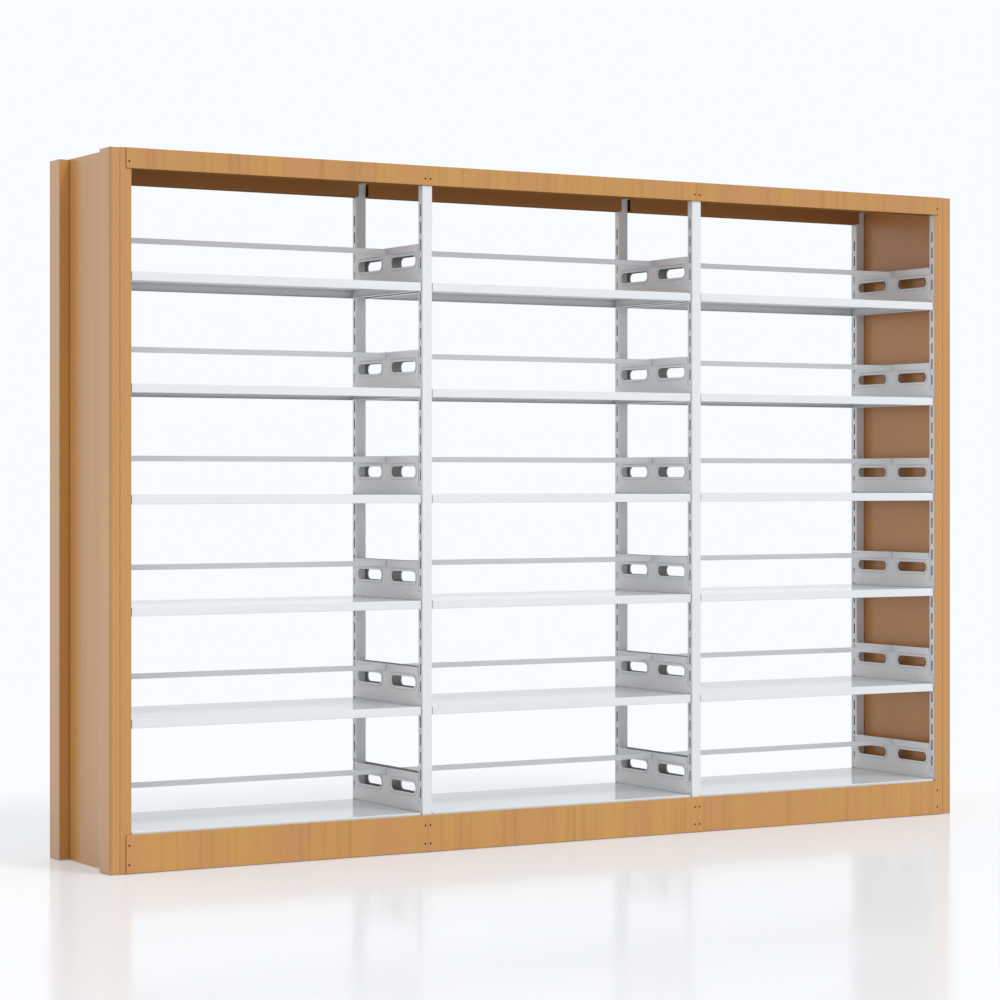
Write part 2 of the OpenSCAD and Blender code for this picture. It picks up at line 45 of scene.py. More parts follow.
# How far up a normal points where a face begins to be a top, and where it surely is one
TOP_FACING = (0.9, 0.98)
# The same for an underside: where it surely is one, and where it is none any more
UNDERSIDE_FACING = (-0.85, -0.3)
# Nearly all values of a noise lie between these two
NOISE_SPAN = (0.3, 0.7)
# The specular level at which the IOR alone says how much a surface mirrors
PLAIN_SPECULAR = 0.5

Colour = tuple[float, float, float, float]


class Slot(Enum):
    """The finishes, by what they are on."""

    WHITE = "white_powder_coat"
    UPRIGHT = "white_powder_coat_uprights"
    PLATE = "white_powder_coat_plates"
    FASCIA = "wood_grain_fascia"
    KICK = "wood_grain_kick"
    PANEL = "wood_grain_panel"
    SCREW = "zinc_screw"
    PLASTIC = "black_plastic"


class Coated(Enum):
    """What a powder coat covers."""

    SHELVES = "shelves"
    OUTSIDE_OF_UPRIGHTS = "outside_of_uprights"
    PLATES_AND_BARS = "plates_and_bars"


class GrainRun(Enum):
    """How the printed grain lies on a sheet: how much each axis counts across the grain."""

    ROUND_CORNERS = (1.0, 1.0, 0.0)
    OVER_THE_TOP = (1.0, 0.0, 0.0)


class InnerSide(Enum):
    """What tells a sheet's inner side: an axis, and the place times the normal along it.

    An inner side faces the middle of the row, so the product is negative there, and about as large
    as the sheet is far off. The two numbers are surely inner and surely outer.
    """

    END_PANELS = ("X", -1.3, -0.9)
    COVERS = ("Y", -0.17, -0.1)


def linear(hex_colour: str) -> Colour:
    """Turns an sRGB hex colour into linear light.

    Args:
        hex_colour: The colour, as in "#c8ab8a".

    Returns:
        Red, green, blue and an alpha of 1.
    """
    parts = [int(hex_colour[i:i + 2], 16) / 255 for i in (1, 3, 5)]
    lit = [c / 12.92 if c <= 0.04045 else ((c + 0.055) / 1.055) ** 2.4 for c in parts]
    return (lit[0], lit[1], lit[2], 1.0)


def add_node(
    tree: bpy.types.NodeTree,
    kind: str,
    sockets: dict[str | int, Any] | None = None,
    **settings: Any,
) -> bpy.types.Node:
    """Adds a node with its settings and links.

    Args:
        tree: The node tree that it goes into.
        kind: The node's type, without the words ShaderNode in front.
        sockets: What goes into its inputs, by name or number: a socket is linked, and anything
            else is the input's value.
        settings: The node's own settings.

    Returns:
        The node.
    """
    node = tree.nodes.new("ShaderNode" + kind)
    for name, value in settings.items():
        setattr(node, name, value)
    for key, value in (sockets or {}).items():
        if isinstance(value, bpy.types.NodeSocket):
            tree.links.new(value, node.inputs[key])
        else:
            node.inputs[key].default_value = value
    return node


def new_tree(name: str) -> tuple[bpy.types.Material, bpy.types.NodeTree]:
    """Makes an empty node material.

    Args:
        name: The material's name.

    Returns:
        The material and its node tree, without a node in it.
    """
    material = bpy.data.materials.new(name)
    material.use_nodes = True
    material.node_tree.nodes.clear()
    return material, material.node_tree


def set_ramp(node: bpy.types.Node, stops: list[tuple[float, Colour]]) -> None:
    """Sets the stops of a colour ramp.

    Args:
        node: The ColorRamp node.
        stops: Each stop's place from 0 to 1 and its colour, in order.
    """
    ramp = node.color_ramp
    while len(ramp.elements) < len(stops):
        ramp.elements.new(0.5)
    for element, (place, colour) in zip(ramp.elements, stops):
        element.position = place
        element.color = colour


def off_frame_line(
    tree: bpy.types.NodeTree, along: bpy.types.NodeSocket
) -> bpy.types.NodeSocket:
    """Adds the distance along the row from the nearest frame line.

    Args:
        tree: The node tree.
        along: The socket of the place along the row.

    Returns:
        The socket of the distance, in metres.
    """
    moved = add_node(tree, "Math", {0: along, 1: BAY_W / 2}, operation="ADD")
    return add_node(tree, "Math", {0: moved.outputs[0], 1: BAY_W / 2},
                    operation="PINGPONG").outputs[0]


def paint_crease_shade(
    tree: bpy.types.NodeTree, colour: bpy.types.NodeSocket, reach_mm: float, share: float
) -> bpy.types.NodeSocket:
    """Paints shade into narrow gaps and the roots of folds: the less open a point is, the darker.

    Args:
        tree: The material's node tree.
        colour: The socket of the coat's colour.
        reach_mm: How near another face is that makes a crease.
        share: The share of its light that a closed crease loses.

    Returns:
        The socket of the colour with the painted shade.
    """
    open_share = add_node(tree, "AmbientOcclusion", {"Distance": reach_mm * MM}, samples=8)
    shade = add_node(tree, "MapRange", {
        "Value": open_share.outputs["AO"], "To Min": 1 - share, "To Max": 1.0,
    })
    return add_node(tree, "VectorMath", {0: colour, "Scale": shade.outputs["Result"]},
                    operation="SCALE").outputs["Vector"]


def add_seen_share(tree: bpy.types.NodeTree) -> bpy.types.NodeSocket:
    """Adds what tells the rays that show a background from those that light the row.

    Args:
        tree: The node tree.

    Returns:
        A socket that is 1 for camera, glossy and transmitted rays, and 0 for the others.
    """
    path = add_node(tree, "LightPath")
    straight = add_node(tree, "Math", {
        0: path.outputs["Is Camera Ray"], 1: path.outputs["Is Glossy Ray"],
    }, operation="MAXIMUM")
    return add_node(tree, "Math", {
        0: straight.outputs["Value"], 1: path.outputs["Is Transmission Ray"],
    }, operation="MAXIMUM").outputs["Value"]


@dataclass(frozen=True)
class PowderCoat:
    """Polyester powder coat on steel: dry paint, melted on in an oven.

    It looks like a hard, even, half-gloss skin. The melt leaves a faint orange peel, and the film's
    depth drifts a little over a sheet, which shows as a hardly visible change of tone.
    """

    name: str
    colour: str
    thin_colour: str
    coated: Coated = Coated.SHELVES
    roughness: float = 0.34
    # The real peel is 1 to 2 mm from crest to crest, too fine to show, so it is drawn coarser
    peel_mm: float = 7.0
    peel_height_mm: float = 0.013
    drift_mm: float = 420.0
    # The inside of the uprights: bare steel, darkened to near black as painted shade
    bare_steel_in_shade: str = "#0c0c0b"
    # The backs of the plates, which turn to each other across a frame: their colour is painted shade
    plate_back_shade: str = "#a2a2a0"
    # The tops of the shelves: their roughness, the share of their colour that is left under the
    # painted shade, and the share that is left of their mirror image
    top_roughness: float = 0.11
    top_shade_share: float = 0.84
    top_mirror: float = 0.45
    # The stop bars' brighter, bluer copy of the plates' white: painted light
    bar_lit_colour: str = "#eaedf1"
    # Painted shade in creases and narrow gaps: how near a face makes a crease, and how much light a
    # closed crease loses
    crease_shade_mm: float = 5.0
    crease_shade_share: float = 0.45

    def shade_tube_inside(
        self, tree: bpy.types.NodeTree, colour: bpy.types.NodeSocket
    ) -> bpy.types.NodeSocket:
        """Paints the inside of the uprights near black: bare steel, where the powder doesn't reach,
        darkened further as painted shade.

        Args:
            tree: The material's node tree.
            colour: The socket of the paint's colour.

        Returns:
            The socket of the colour with the bare inside in painted shade.
        """
        place = add_node(tree, "SeparateXYZ", {0: add_node(tree, "NewGeometry").outputs["Position"]})
        off_line = off_frame_line(tree, place.outputs["X"])
        from_middle = add_node(tree, "Math", {0: place.outputs["Y"]},
                               operation="ABSOLUTE").outputs[0]
        limits = (
            (off_line, TUBE_INSIDE_X, "LESS_THAN"),
            (from_middle, TUBE_INSIDE_Y[0], "GREATER_THAN"),
            (from_middle, TUBE_INSIDE_Y[1], "LESS_THAN"),
        )
        inside = 1.0
        for value, limit, way in limits:
            within = add_node(tree, "Math", {0: value, 1: limit}, operation=way)
            inside = add_node(tree, "Math", {0: within.outputs[0], 1: inside},
                              operation="MULTIPLY").outputs[0]
        return add_node(tree, "Mix", {0: inside, 6: colour, 7: linear(self.bare_steel_in_shade)},
                        data_type="RGBA").outputs[2]

    def gloss_and_shade_tops(
        self,
        tree: bpy.types.NodeTree,
        colour: bpy.types.NodeSocket,
        roughness: bpy.types.NodeSocket,
    ) -> tuple[bpy.types.NodeSocket, bpy.types.NodeSocket, bpy.types.NodeSocket]:
        """Makes the tops of the shelves glossy: they lie flat in the oven, so the melt flows out.
        Their colour is darkened there as painted shade.

        The ends of the shelves and the plates' feet show in them as in a dull mirror.

        Args:
            tree: The material's node tree.
            colour: The socket of the paint's colour.
            roughness: The socket of its roughness.

        Returns:
            The sockets of the colour with the painted shade on the tops, and of the roughness and
            the shine with the tops in them.
        """
        facing = add_node(tree, "SeparateXYZ", {
            0: add_node(tree, "NewGeometry").outputs["True Normal"],
        })
        top = add_node(tree, "MapRange", {
            "Value": facing.outputs["Z"], "From Min": TOP_FACING[0], "From Max": TOP_FACING[1],
        }).outputs["Result"]
        # Painted shade: the tops' colour is darkened
        share = add_node(tree, "MapRange", {"Value": top, "To Min": 1.0, "To Max": self.top_shade_share})
        top_shaded = add_node(tree, "VectorMath", {0: colour, "Scale": share.outputs["Result"]},
                         operation="SCALE")
        smooth = add_node(tree, "MapRange", {
            "Value": top, "To Min": roughness, "To Max": self.top_roughness,
        })
        shine = add_node(tree, "MapRange", {
            "Value": top, "To Min": PLAIN_SPECULAR, "To Max": PLAIN_SPECULAR * self.top_mirror,
        })
        return top_shaded.outputs["Vector"], smooth.outputs["Result"], shine.outputs["Result"]

    def shade_plate_backs(
        self, tree: bpy.types.NodeTree, colour: bpy.types.NodeSocket
    ) -> bpy.types.NodeSocket:
        """Paints shade on the backs of the end plates.

        Args:
            tree: The material's node tree.
            colour: The socket of the plates' colour.

        Returns:
            The socket of the colour with the painted shade on the backs.
        """
        geometry = add_node(tree, "NewGeometry")
        place = add_node(tree, "SeparateXYZ", {0: geometry.outputs["Position"]})
        facing = add_node(tree, "SeparateXYZ", {0: geometry.outputs["True Normal"]})
        moved = add_node(tree, "Math", {0: place.outputs["X"], 1: BAY_W / 2}, operation="ADD")
        off_line = add_node(tree, "Math", {
            0: moved.outputs[0], 1: BAY_W / 2, 2: -BAY_W / 2,
        }, operation="WRAP")
        outwards = add_node(tree, "Math", {0: off_line.outputs[0], 1: facing.outputs["X"]},
                            operation="MULTIPLY")
        shaded_back = add_node(tree, "Math", {0: outwards.outputs[0], 1: -PLATE_BACK_FROM_X},
                        operation="LESS_THAN")
        # Painted shade on the plates' backs
        return add_node(tree, "Mix", {
            0: shaded_back.outputs[0], 6: colour, 7: linear(self.plate_back_shade),
        }, data_type="RGBA").outputs[2]

    def paint_bar_light(
        self, tree: bpy.types.NodeTree, colour: bpy.types.NodeSocket
    ) -> bpy.types.NodeSocket:
        """Paints light on the stop bars between the plates: a brighter, bluer copy of the plates'
        white.

        Args:
            tree: The material's node tree.
            colour: The socket of the plates' colour.

        Returns:
            The socket of the colour with the painted light on the bars.
        """
        place = add_node(tree, "SeparateXYZ", {0: add_node(tree, "NewGeometry").outputs["Position"]})
        on_bar = add_node(tree, "Math", {
            0: off_frame_line(tree, place.outputs["X"]), 1: BAR_FROM_X,
        }, operation="GREATER_THAN")
        # Painted light on the stop bars
        return add_node(tree, "Mix", {
            0: on_bar.outputs[0], 6: colour, 7: linear(self.bar_lit_colour),
        }, data_type="RGBA").outputs[2]

    def build(self) -> bpy.types.Material:
        """Makes the material.

        Returns:
            The material, ready to be worn.
        """
        material, tree = new_tree(self.name)
        place = add_node(tree, "TexCoord").outputs["Object"]
        drift = add_node(tree, "TexNoise", {
            "Vector": place, "Scale": 1 / (self.drift_mm * MM), "Detail": 3.0, "Roughness": 0.55,
        })
        tone = add_node(tree, "ValToRGB", {"Fac": drift.outputs["Fac"]})
        set_ramp(tone, [
            (NOISE_SPAN[0], linear(self.thin_colour)), (NOISE_SPAN[1], linear(self.colour)),
        ])
        peel = add_node(tree, "TexNoise", {
            "Vector": place, "Scale": 1 / (self.peel_mm * MM), "Detail": 2.0, "Roughness": 0.4,
        })
        gloss = add_node(tree, "MapRange", {
            "Value": drift.outputs["Fac"], "From Min": NOISE_SPAN[0], "From Max": NOISE_SPAN[1],
            "To Min": self.roughness + 0.05, "To Max": self.roughness - 0.03,
        })
        bump = add_node(tree, "Bump", {
            "Height": peel.outputs["Fac"], "Strength": 0.5,
            "Distance": self.peel_height_mm * MM,
        })
        colour, roughness = tone.outputs["Color"], gloss.outputs["Result"]
        shine = PLAIN_SPECULAR
        # Painted shade on the shelves' tops
        if self.coated is Coated.SHELVES:
            colour, roughness, shine = self.gloss_and_shade_tops(tree, colour, roughness)
        # Painted shade inside the uprights
        if self.coated is Coated.OUTSIDE_OF_UPRIGHTS:
            colour = self.shade_tube_inside(tree, colour)
        # Painted light on the stop bars and painted shade on the plates' backs
        if self.coated is Coated.PLATES_AND_BARS:
            colour = self.shade_plate_backs(tree, self.paint_bar_light(tree, colour))
        # Painted shade in creases and narrow gaps
        colour = paint_crease_shade(tree, colour, self.crease_shade_mm, self.crease_shade_share)
        shader = add_node(tree, "BsdfPrincipled", {
            "Base Color": colour, "Roughness": roughness, "IOR": 1.5,
            "Specular IOR Level": shine, "Metallic": 0.0, "Normal": bump.outputs["Normal"],
        })
        add_node(tree, "OutputMaterial", {"Surface": shader.outputs["BSDF"]})
        return material


@dataclass(frozen=True)
class WoodGrainPrint:
    """Beech grain, transferred by heat from a film into powder coat on steel.

    The eye sees straight, even beech without joints or knots: soft bands about a hand wide that
    lean to pink or to yellow, darker streaks and thin lines in them, and a satin sheen over all of
    it, as the print lies in the paint and not in open pores.
    """

    name: str
    middle: str
    pink: str
    yellow: str
    streak: str
    run: GrainRun
    roughness: float = 0.34
    # The clear lacquer that goes on over the film
    lacquer: float = 0.55
    lacquer_roughness: float = 0.26
    band_mm: float = 120.0
    # Beech rays and vessels are well under 1 mm, too fine to show, so the streaks are drawn 20 mm
    # wide, and the finest lines 5 mm
    streak_mm: float = 20.0
    line_mm: float = 5.0
    length_mm: float = 900.0
    # How much of the streak colour a streak and a line get at most
    streak_share: float = 0.6
    line_share: float = 0.16
    # A faint relief runs with the streaks
    relief_mm: float = 0.03
    # The inner side, which gets less of the film and no lacquer, and the undersides, which get none;
    # the colours of both are painted shade
    inner_side: InnerSide = InnerSide.END_PANELS
    inside: str = "#c8834d"
    inside_shade_share: float = 0.6
    # Share of the shine that is left there
    inside_shine: float = 0.75
    underside: str = "#7f5a2f"
    # Painted shade in creases and narrow gaps: how near a face makes a crease, and how much light a
    # closed crease loses
    crease_shade_mm: float = 3.5
    crease_shade_share: float = 0.55
    # How far from a moulding's corner the painted shade reaches, and how dark it is at the corner
    bend_shade_mm: float = 10.0
    bend_shade_share: float = 0.0

    def across(
        self, tree: bpy.types.NodeTree, place: bpy.types.NodeSocket, width_mm: float
    ) -> bpy.types.NodeSocket:
        """Adds a noise that varies across the grain and runs on along it.

        Args:
            tree: The material's node tree.
            place: The socket that gives the point on the sheet.
            width_mm: The width of one band.

        Returns:
            The noise's value socket.
        """
        along = 1 / (self.length_mm * MM)
        fine = 1 / (width_mm * MM)
        scale = tuple(along + (fine - along) * share for share in self.run.value)
        mapping = add_node(tree, "Mapping", {"Vector": place, "Scale": scale})
        noise = add_node(tree, "TexNoise", {
            "Vector": mapping.outputs["Vector"], "Scale": 1.0, "Detail": 2.0, "Roughness": 0.5,
        })
        return noise.outputs["Fac"]

    def away_from_undersides(self, tree: bpy.types.NodeTree) -> bpy.types.NodeSocket:
        """Adds what tells undersides, which no film covers and no lacquer reaches, and which get a
        dark colour as painted shade.

        Args:
            tree: The material's node tree.

        Returns:
            A socket that is 0 on a sheet's underside and 1 on its sides and top.
        """
        facing = add_node(tree, "SeparateXYZ", {
            0: add_node(tree, "NewGeometry").outputs["True Normal"],
        })
        return add_node(tree, "MapRange", {
            "Value": facing.outputs["Z"],
            "From Min": UNDERSIDE_FACING[0], "From Max": UNDERSIDE_FACING[1],
        }).outputs["Result"]

    def outside_of_row(self, tree: bpy.types.NodeTree) -> bpy.types.NodeSocket:
        """Adds what tells the inner sides of the sheets from all others.

        Args:
            tree: The material's node tree.

        Returns:
            A socket that is 0 on the inner sides and 1 elsewhere.
        """
        axis, inner, outer = self.inner_side.value
        geometry = add_node(tree, "NewGeometry")
        place = add_node(tree, "SeparateXYZ", {0: geometry.outputs["Position"]})
        facing = add_node(tree, "SeparateXYZ", {0: geometry.outputs["True Normal"]})
        outwards = add_node(tree, "Math", {0: place.outputs[axis], 1: facing.outputs[axis]},
                            operation="MULTIPLY")
        return add_node(tree, "MapRange", {
            "Value": outwards.outputs[0], "From Min": inner, "From Max": outer,
        }).outputs["Result"]

    def shade_bends(
        self, tree: bpy.types.NodeTree, colour: bpy.types.NodeSocket
    ) -> bpy.types.NodeSocket:
        """Paints shade on the mouldings' outer corners, darkest at the bend.

        Args:
            tree: The material's node tree.
            colour: The socket of the print's colour.

        Returns:
            The socket of the colour with the painted shade on the corners.
        """
        place = add_node(tree, "SeparateXYZ", {0: add_node(tree, "NewGeometry").outputs["Position"]})
        squares = []
        for axis, corner in zip("XY", BEND_AT):
            out = add_node(tree, "Math", {0: place.outputs[axis]}, operation="ABSOLUTE")
            off = add_node(tree, "Math", {0: out.outputs[0], 1: corner}, operation="SUBTRACT")
            squares.append(add_node(tree, "Math", {0: off.outputs[0], 1: 2.0},
                                    operation="POWER").outputs[0])
        together = add_node(tree, "Math", {0: squares[0], 1: squares[1]}, operation="ADD")
        away = add_node(tree, "Math", {0: together.outputs[0]}, operation="SQRT")
        shade = add_node(tree, "MapRange", {
            "Value": away.outputs[0], "From Max": self.bend_shade_mm * MM,
            "To Min": 1 - self.bend_shade_share, "To Max": 1.0,
        })
        return add_node(tree, "VectorMath", {0: colour, "Scale": shade.outputs["Result"]},
                        operation="SCALE").outputs["Vector"]

    def build(self) -> bpy.types.Material:
        """Makes the material.

        Returns:
            The material, ready to be worn.
        """
        material, tree = new_tree(self.name)
        place = add_node(tree, "TexCoord").outputs["Object"]
        bands = self.across(tree, place, self.band_mm)
        streaks = self.across(tree, place, self.streak_mm)
        lines = self.across(tree, place, self.line_mm)
        hue = add_node(tree, "ValToRGB", {"Fac": bands})
        set_ramp(hue, [
            (0.32, linear(self.pink)), (0.5, linear(self.middle)), (0.68, linear(self.yellow)),
        ])
        streak_amount = add_node(tree, "MapRange", {
            "Value": streaks, "From Min": 0.5, "From Max": 0.75, "To Max": self.streak_share,
        })
        streaked = add_node(tree, "Mix", {
            0: streak_amount.outputs["Result"], 6: hue.outputs["Color"], 7: linear(self.streak),
        }, data_type="RGBA")
        line_amount = add_node(tree, "MapRange", {
            "Value": lines, "From Min": 0.55, "From Max": 0.75, "To Max": self.line_share,
        })
        lined = add_node(tree, "Mix", {
            0: line_amount.outputs["Result"], 6: streaked.outputs[2], 7: linear(self.streak),
        }, data_type="RGBA")
        gloss = add_node(tree, "MapRange", {
            "Value": streaks, "From Min": NOISE_SPAN[0], "From Max": NOISE_SPAN[1],
            "To Min": self.roughness - 0.03, "To Max": self.roughness + 0.06,
        })
        bump = add_node(tree, "Bump", {
            "Height": streaks, "Strength": 0.3, "Distance": self.relief_mm * MM,
        })
        outer = self.outside_of_row(tree)
        side_shine = add_node(tree, "MapRange", {
            "Value": outer, "To Min": self.inside_shine, "To Max": 1.0,
        })
        printed = self.away_from_undersides(tree)
        shine = add_node(tree, "Math", {0: printed, 1: side_shine.outputs["Result"]},
                         operation="MULTIPLY").outputs[0]
        # Painted shade: the inner side's colour
        bare_and_shade_share = add_node(tree, "MapRange", {
            "Value": outer, "To Min": self.inside_shade_share, "To Max": 0.0,
        })
        sided = add_node(tree, "Mix", {
            0: bare_and_shade_share.outputs["Result"], 6: lined.outputs[2], 7: linear(self.inside),
        }, data_type="RGBA")
        # Painted shade: the undersides' dark colour
        covered = add_node(tree, "Mix", {
            0: printed, 6: linear(self.underside), 7: sided.outputs[2],
        }, data_type="RGBA")
        # Painted shade in creases and narrow gaps
        colour = paint_crease_shade(tree, covered.outputs[2], self.crease_shade_mm, self.crease_shade_share)
        # Painted shade at the mouldings' outer corners
        if self.bend_shade_share:
            colour = self.shade_bends(tree, colour)
        lacquer = add_node(tree, "Math", {0: shine, 1: self.lacquer}, operation="MULTIPLY")
        sheen = add_node(tree, "Math", {0: shine, 1: PLAIN_SPECULAR}, operation="MULTIPLY")
        shader = add_node(tree, "BsdfPrincipled", {
            "Base Color": colour, "Roughness": gloss.outputs["Result"],
            "IOR": 1.5, "Specular IOR Level": sheen.outputs["Value"],
            "Coat Weight": lacquer.outputs["Value"], "Coat Roughness": self.lacquer_roughness,
            "Normal": bump.outputs["Normal"], "Coat Normal": bump.outputs["Normal"],
        })
        add_node(tree, "OutputMaterial", {"Surface": shader.outputs["BSDF"]})
        return material


@dataclass(frozen=True)
class ZincPlate:
    """Screws of steel with a dull, yellow-passivated zinc plate.

    Small, dark brown dots, a little blotched by the bath, with a soft metal glint on the dome.
    """

    name: str
    colour: str
    dark_colour: str
    roughness: float = 0.42
    blotch_mm: float = 2.5

    def build(self) -> bpy.types.Material:
        """Makes the material.

        Returns:
            The material, ready to be worn.
        """
        material, tree = new_tree(self.name)
        place = add_node(tree, "TexCoord").outputs["Object"]
        blotch = add_node(tree, "TexNoise", {
            "Vector": place, "Scale": 1 / (self.blotch_mm * MM), "Detail": 3.0,
        })
        tone = add_node(tree, "ValToRGB", {"Fac": blotch.outputs["Fac"]})
        set_ramp(tone, [(0.35, linear(self.dark_colour)), (0.65, linear(self.colour))])
        gloss = add_node(tree, "MapRange", {
            "Value": blotch.outputs["Fac"], "From Min": NOISE_SPAN[0], "From Max": NOISE_SPAN[1],
            "To Min": self.roughness + 0.08, "To Max": self.roughness - 0.08,
        })
        shader = add_node(tree, "BsdfPrincipled", {
            "Base Color": tone.outputs["Color"], "Metallic": 1.0,
            "Roughness": gloss.outputs["Result"],
        })
        add_node(tree, "OutputMaterial", {"Surface": shader.outputs["BSDF"]})
        return material


@dataclass(frozen=True)
class MouldedPolyamide:
    """Foot caps of black polyamide, moulded in an eroded tool: matt, with a fine even grain."""

    name: str
    colour: str
    scuffed: str
    roughness: float = 0.55
    # The eroded grain is about 0.3 mm, too fine to show, so it is drawn coarser
    grain_mm: float = 1.2
    grain_depth_mm: float = 0.05

    def build(self) -> bpy.types.Material:
        """Makes the material.

        Returns:
            The material, ready to be worn.
        """
        material, tree = new_tree(self.name)
        place = add_node(tree, "TexCoord").outputs["Object"]
        grain = add_node(tree, "TexNoise", {
            "Vector": place, "Scale": 1 / (self.grain_mm * MM), "Detail": 2.0,
        })
        tone = add_node(tree, "ValToRGB", {"Fac": grain.outputs["Fac"]})
        set_ramp(tone, [(0.4, linear(self.colour)), (0.8, linear(self.scuffed))])
        bump = add_node(tree, "Bump", {
            "Height": grain.outputs["Fac"], "Strength": 0.6, "Distance": self.grain_depth_mm * MM,
        })
        shader = add_node(tree, "BsdfPrincipled", {
            "Base Color": tone.outputs["Color"], "Roughness": self.roughness, "IOR": 1.53,
            "Normal": bump.outputs["Normal"],
        })
        add_node(tree, "OutputMaterial", {"Surface": shader.outputs["BSDF"]})
        return material


@dataclass(frozen=True)
class StudioFloor:
    """Smooth white lacquered floor that runs out into the white of the studio.

    It keeps the row's shadow and a faint, blurred mirror image, and has no visible far edge.
    """

    name: str
    colour: str
    backdrop: str
    roughness: float = 0.13
    # Share of the real floor in what the camera sees: the rest is the studio's white
    presence: float = 0.7
    shine: float = 0.2
    # Between these two distances from the row's middle the floor turns to the studio's white
    fade_from: float = 2.6
    fade_to: float = 6.5

    def build(self) -> bpy.types.Material:
        """Makes the material.

        Returns:
            The material, ready to be worn.
        """
        material, tree = new_tree(self.name)
        place = add_node(tree, "TexCoord").outputs["Object"]
        cloud = add_node(tree, "TexNoise", {"Vector": place, "Scale": 1.6, "Detail": 2.0})
        gloss = add_node(tree, "MapRange", {
            "Value": cloud.outputs["Fac"], "To Min": self.roughness - 0.03,
            "To Max": self.roughness + 0.03,
        })
        lacquer = add_node(tree, "BsdfPrincipled", {
            "Base Color": linear(self.colour), "Roughness": gloss.outputs["Result"], "IOR": 1.4,
            "Specular IOR Level": self.shine,
        })
        white = add_node(tree, "Emission", {"Color": linear(self.backdrop), "Strength": 1.0})
        reach = add_node(tree, "VectorMath", {0: place}, operation="LENGTH")
        fade = add_node(tree, "MapRange", {
            "Value": reach.outputs["Value"], "From Min": self.fade_from, "From Max": self.fade_to,
            "To Min": 1 - self.presence, "To Max": 1.0,
        }, interpolation_type="SMOOTHSTEP")
        seen = add_seen_share(tree)
        share = add_node(tree, "Math", {0: fade.outputs["Result"], 1: seen}, operation="MULTIPLY")
        both = add_node(tree, "MixShader", {
            0: share.outputs["Value"], 1: lacquer.outputs["BSDF"], 2: white.outputs["Emission"],
        })
        add_node(tree, "OutputMaterial", {"Surface": both.outputs["Shader"]})
        return material


FINISHES: dict[Slot, PowderCoat | WoodGrainPrint | ZincPlate | MouldedPolyamide] = {
    Slot.WHITE: PowderCoat(
        "white_polyester_powder_coat", "#e6e9eb", "#e1e4e7", roughness=0.32),
    Slot.UPRIGHT: PowderCoat(
        "white_polyester_powder_coat_on_slotted_tube", "#e5e7e9", "#dfe2e5",
        Coated.OUTSIDE_OF_UPRIGHTS),
    # The plates and bars wear the shelves' white a little lighter: painted light for the shade
    # between the shelves
    Slot.PLATE: PowderCoat(
        "white_polyester_powder_coat_on_pressed_sheet", "#ececec", "#e6e6e7",
        Coated.PLATES_AND_BARS),
    Slot.FASCIA: WoodGrainPrint(
        "beech_grain_print_on_fascia_steel", "#be8845", "#bc8349", "#c18e41", "#a87233",
        GrainRun.OVER_THE_TOP, inner_side=InnerSide.COVERS, inside="#a66c37", inside_shade_share=0.9),
    # The kick plates wear the fascias' print a little lighter: painted light for the dimmer light
    # near the floor
    Slot.KICK: WoodGrainPrint(
        "beech_grain_print_painted_lighter_on_kick_plates", "#c38d47", "#c1884b", "#c69343", "#ad7735",
        GrainRun.OVER_THE_TOP, inner_side=InnerSide.COVERS, inside="#a66c37", inside_shade_share=0.9),
    Slot.PANEL: WoodGrainPrint(
        "beech_grain_print_on_panel_steel", "#c28c4a", "#c0884c", "#c49148", "#b27d3d",
        GrainRun.ROUND_CORNERS, length_mm=1500.0, streak_share=0.28, line_share=0.2,
        bend_shade_share=0.3),
    Slot.SCREW: ZincPlate("yellow_passivated_zinc_plate", "#2d1f12", "#190f08"),
    Slot.PLASTIC: MouldedPolyamide("black_moulded_polyamide", "#1d1e20", "#2b2c2e"),
}


class Wardrobe:
    """Makes each finish once and puts it on pieces."""

    def __init__(self) -> None:
        """Starts with nothing made."""
        self.made: dict[Slot, bpy.types.Material] = {}

    def material(self, slot: Slot) -> bpy.types.Material:
        """Gives a slot's material, and makes it the first time.

        Args:
            slot: The finish.

        Returns:
            Its one material.
        """
        if slot not in self.made:
            self.made[slot] = FINISHES[slot].build()
        return self.made[slot]

    def dress(self, node_name: str, slot: Slot) -> None:
        """Puts a finish on all of a node.

        Args:
            node_name: The node's name in the frame.
            slot: The finish.
        """
        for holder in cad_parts[node_name].material_slots:
            holder.material = self.material(slot)
        LOG.info("%s wears %s", node_name, slot.value)


@dataclass
class UprightFrames:
    """The slotted uprights with the rails that join them and the caps they stand on."""

    frames: int = FRAMES
    sides: tuple[str, ...] = ("front", "rear")

    def build(self, wardrobe: Wardrobe) -> None:
        """Dresses the uprights, the rails and the foot caps.

        Args:
            wardrobe: Where the finishes come from.
        """
        for number in range(1, self.frames + 1):
            for side in self.sides:
                wardrobe.dress(f"upright_{number}_{side}", Slot.UPRIGHT)
        wardrobe.dress("frame_rails", Slot.WHITE)
        wardrobe.dress("foot_caps", Slot.PLASTIC)


@dataclass
class Cladding:
    """The wood-grain sheets round the row: end panels, top covers and kick plates."""

    bays: int = BAYS
    sides: tuple[str, ...] = ("front", "rear")

    def build(self, wardrobe: Wardrobe) -> None:
        """Dresses the sheets and the screws that hold them.

        Args:
            wardrobe: Where the finishes come from.
        """
        for end in ("left", "right"):
            wardrobe.dress(f"end_panel_{end}", Slot.PANEL)
        wardrobe.dress("panel_mouldings", Slot.PANEL)
        for bay in range(1, self.bays + 1):
            wardrobe.dress(f"top_cover_{bay}", Slot.FASCIA)
            for side in self.sides:
                wardrobe.dress(f"kick_plate_{side}_{bay}", Slot.KICK)
        for what in ("top_cover", "kick_plate"):
            wardrobe.dress(f"{what}_screws", Slot.SCREW)


